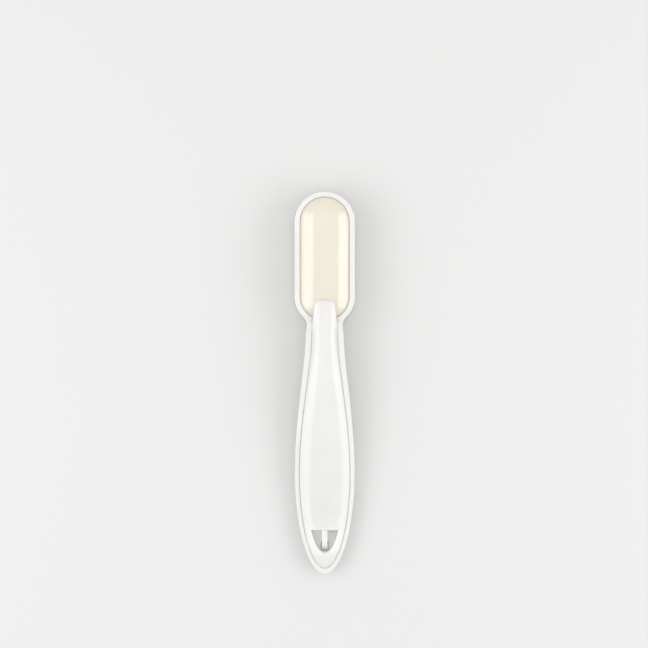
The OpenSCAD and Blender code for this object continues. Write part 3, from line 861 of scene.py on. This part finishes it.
# %% Lay the bar across the pocket
BAR_Y, BAR_Z = -84.8, 4.7
BAR_LONG, BAR_HIGH, BAR_SINK = 1.6, 1.0, 1  # its ends reach this far into the platform
BAR_ROUND = 0.25

bar = add_block(bm, (2 * POCKET_HALF + 2 * BAR_SINK, BAR_LONG, BAR_HIGH), (0, BAR_Y, BAR_Z))
round_edges(bm, edges_of(bm, bar), BAR_ROUND)
close_up(bm, "platform", sharp=CORNER)
platform = to_object(bm, "tongue_platform")
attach(platform, "handle_body")
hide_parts("spring_keeper")

# %% [markdown]
# ## Milky polypropylene
# The plastic is white but not opaque: light goes a few millimetres into it, which softens every
# edge. A principled shader with subsurface scattering does that for what the camera sees directly.
# Light that passes through a thin wall into the narrow slits beside the lever needs something more,
# since Cycles treats subsurface scattering as plain diffuse after the first bounce. A translucent
# shader is mixed in for it, and the slits become pale grey lines instead of dark ones.
# Two noises keep it from looking like one flat colour: a broad one for the slight unevenness of
# the melt, and a fine one for the skin that the steel of the mould leaves.

# %% Helpers for the plastic's nodes
MELT_SCALE, MELT_DETAIL = 45, 3
MELT_RANGE = (0.3, 0.7)  # the part of the noise over which dark turns to light
SKIN_SCALE, SKIN_DETAIL = 900, 2


def set_inputs(node, values):
    for name, value in values.items():
        node.inputs[name].default_value = value


def add_noise(tree, place, scale, detail):
    """A noise on the piece's own coordinates."""
    noise = tree.nodes.new("ShaderNodeTexNoise")
    set_inputs(noise, {"Scale": scale, "Detail": detail})
    tree.links.new(place.outputs["Object"], noise.inputs["Vector"])
    return noise


def add_tint(tree, melt, light, dark):
    """A colour that wanders between dark and light with the melt."""
    tint = tree.nodes.new("ShaderNodeValToRGB")
    for element, position, colour in zip(tint.color_ramp.elements, MELT_RANGE, (dark, light)):
        element.position = position
        element.color = (*colour, 1)
    tree.links.new(melt.outputs["Fac"], tint.inputs["Fac"])
    return tint


# %% A maker of plastic finishes
IOR = 1.49
COAT_ROUGHNESS = 0.12
SUBSURFACE = 0.2
REDDEST = (1.0, 0.98, 0.95)  # red light goes a little deeper than blue
THROUGH = 0.45  # share of the light that passes through a thin wall
ROUGH_SPREAD = 0.05
GRAIN_HIGH = 0.00005  # metres


def plastic(name, light, dark, depth, gloss, polish, roughness, grain):
    """Depth is in metres. Gloss and polish are the coat's weight and index."""
    material = bpy.data.materials.new(name)
    material.use_nodes = True
    tree = material.node_tree
    nodes, link = tree.nodes, tree.links.new
    shader = nodes["Principled BSDF"]
    place = nodes.new("ShaderNodeTexCoord")
    tint = add_tint(tree, add_noise(tree, place, MELT_SCALE, MELT_DETAIL), light, dark)
    link(tint.outputs["Color"], shader.inputs["Base Color"])

    skin = add_noise(tree, place, SKIN_SCALE, SKIN_DETAIL)
    rough = nodes.new("ShaderNodeMapRange")
    set_inputs(rough, {"To Min": roughness - ROUGH_SPREAD, "To Max": roughness + ROUGH_SPREAD})
    link(skin.outputs["Fac"], rough.inputs["Value"])
    link(rough.outputs["Result"], shader.inputs["Roughness"])
    bump = nodes.new("ShaderNodeBump")
    set_inputs(bump, {"Strength": grain, "Distance": GRAIN_HIGH})
    link(skin.outputs["Fac"], bump.inputs["Height"])
    link(bump.outputs["Normal"], shader.inputs["Normal"])

    set_inputs(shader, {
        "IOR": IOR,
        "Specular IOR Level": 1.0,
        "Coat Weight": gloss,
        "Coat IOR": polish,
        "Coat Roughness": COAT_ROUGHNESS,
        "Subsurface Weight": SUBSURFACE,
        "Subsurface Scale": depth,
        "Subsurface Radius": REDDEST,
    })
    through = nodes.new("ShaderNodeBsdfTranslucent")
    link(tint.outputs["Color"], through.inputs["Color"])
    both = nodes.new("ShaderNodeMixShader")
    both.inputs["Fac"].default_value = THROUGH
    link(shader.outputs["BSDF"], both.inputs[1])
    link(through.outputs["BSDF"], both.inputs[2])
    link(both.outputs["Shader"], nodes["Material Output"].inputs["Surface"])
    return material


# %% [markdown]
# The same plastic comes in three finishes: a glossy white one for what the hand touches, one with a
# harder polish for the plate, whose cream tint is painted warm light that shines through it, and a
# plain one for what lies inside, painted a little lighter to lift the shade that falls there.

# %% Mix the three finishes
milky = plastic("milky_polypropylene", light=(0.96, 0.955, 0.945), dark=(0.935, 0.93, 0.92),
                depth=0.004, gloss=0.85, polish=1.5, roughness=0.2, grain=0.12)
# Painted light: the plate's cream tint stands for warm light shining through the plate, painted into
# its colour
plate_painted_cream_light = plastic("plate_polypropylene_painted_cream_light", light=(0.97, 0.935, 0.83), dark=(0.955, 0.915, 0.795),
                  depth=0.004, gloss=1.0, polish=2.0, roughness=0.2, grain=0.10)
# Painted light: the inner parts are painted lighter than the white plastic, to lift the shade that
# falls on them inside the window
inner = plastic("inner_polypropylene_painted_lighter", light=(0.98, 0.975, 0.965), dark=(0.96, 0.955, 0.945),
                depth=0.003, gloss=0.1, polish=1.5, roughness=0.4, grain=0.2)
print("finishes:", ", ".join(material.name for material in (milky, plate_painted_cream_light, inner)))


# %% Dress the pieces
def dress(piece, material):
    piece.data.materials.clear()
    piece.data.materials.append(material)
    print(piece.name, "is dressed in", material.name)


for piece in (body, lever, chevron, tongue):
    dress(piece, milky)
dress(plate, plate_painted_cream_light)
dress(platform, inner)
for name in ("hinge_clips", "hinge_pins", "tail_stop"):
    dress(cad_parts[name], inner)

# %% [markdown]
# ## Floor, light and camera
# The tool lies on a plain pale floor. Two soft boxes, one on each side, draw the long bands of
# light along the crowned lever and the dome. An area lamp that is aimed with `to_track_quat` keeps
# its `size` level, along the tool here, and its `size_y` runs up its own slope, which sets how wide
# the bands are. The camera hangs straight above with a long lens, so that the outline is hardly
# changed by the height of the parts.

# %% Floor
FLOOR_REACH = 3  # metres from the middle to each side
FLOOR_COLOUR, FLOOR_ROUGHNESS = (0.65, 0.65, 0.645, 1), 0.8

bm = bmesh.new()
bmesh.ops.create_grid(bm, x_segments=1, y_segments=1, size=FLOOR_REACH)
floor = to_object(bm, "floor")
floor_finish = bpy.data.materials.new("pale_floor")
floor_finish.use_nodes = True
floor_shader = floor_finish.node_tree.nodes["Principled BSDF"]
set_inputs(floor_shader, {"Base Color": FLOOR_COLOUR, "Roughness": FLOOR_ROUGHNESS})
floor.data.materials.append(floor_finish)
bpy.context.view_layer.update()
print(f"floor {2 * FLOOR_REACH} m square")

# %% Soft boxes and fill
BOX_AIM = (0, -0.02, 0)
BOX_LONG = 0.94
FILL = 0.97


def soft_box(name, place, wide, power):
    """A lamp of this width beside the tool, as long as BOX_LONG, aimed at the tool."""
    data = bpy.data.lights.new(name, "AREA")
    data.shape = "RECTANGLE"
    data.size = BOX_LONG
    data.size_y = wide
    data.energy = power
    lamp = bpy.data.objects.new(name, data)
    lamp.location = place
    lamp.rotation_euler = (Vector(BOX_AIM) - Vector(place)).to_track_quat("-Z", "Y").to_euler()
    bpy.context.scene.collection.objects.link(lamp)
    print(f"{name}: {BOX_LONG} by {wide} m, {power} W")


soft_box("left_box", (-0.64, -0.02, 0.60), 0.56, 2.6)
soft_box("right_box", (0.70, -0.02, 0.54), 0.50, 2.5)
world = bpy.data.worlds.new("studio")
world.use_nodes = True
set_inputs(world.node_tree.nodes["Background"], {"Color": (1, 1, 1, 1), "Strength": FILL})
bpy.context.scene.world = world

# %% Camera straight above
FRAME_WIDE = 0.3393  # metres across the picture, in the plane of the tool's rim
RIM_PLANE_Z = 0.006
LENS, SENSOR = 120, 36
CAMERA_X, CAMERA_Y = -0.00037, 0.0306

lens = bpy.data.cameras.new("camera")
lens.lens, lens.sensor_width = LENS, SENSOR
lens.clip_start, lens.clip_end = 0.05, 10
distance = FRAME_WIDE / lens.sensor_width * lens.lens
camera = bpy.data.objects.new("camera", lens)
camera.location = (CAMERA_X, CAMERA_Y, distance + RIM_PLANE_Z)
bpy.context.scene.collection.objects.link(camera)
bpy.context.scene.camera = camera
bpy.context.scene.view_settings.view_transform = "Standard"
print(f"camera {distance:.3f} m above the tool")
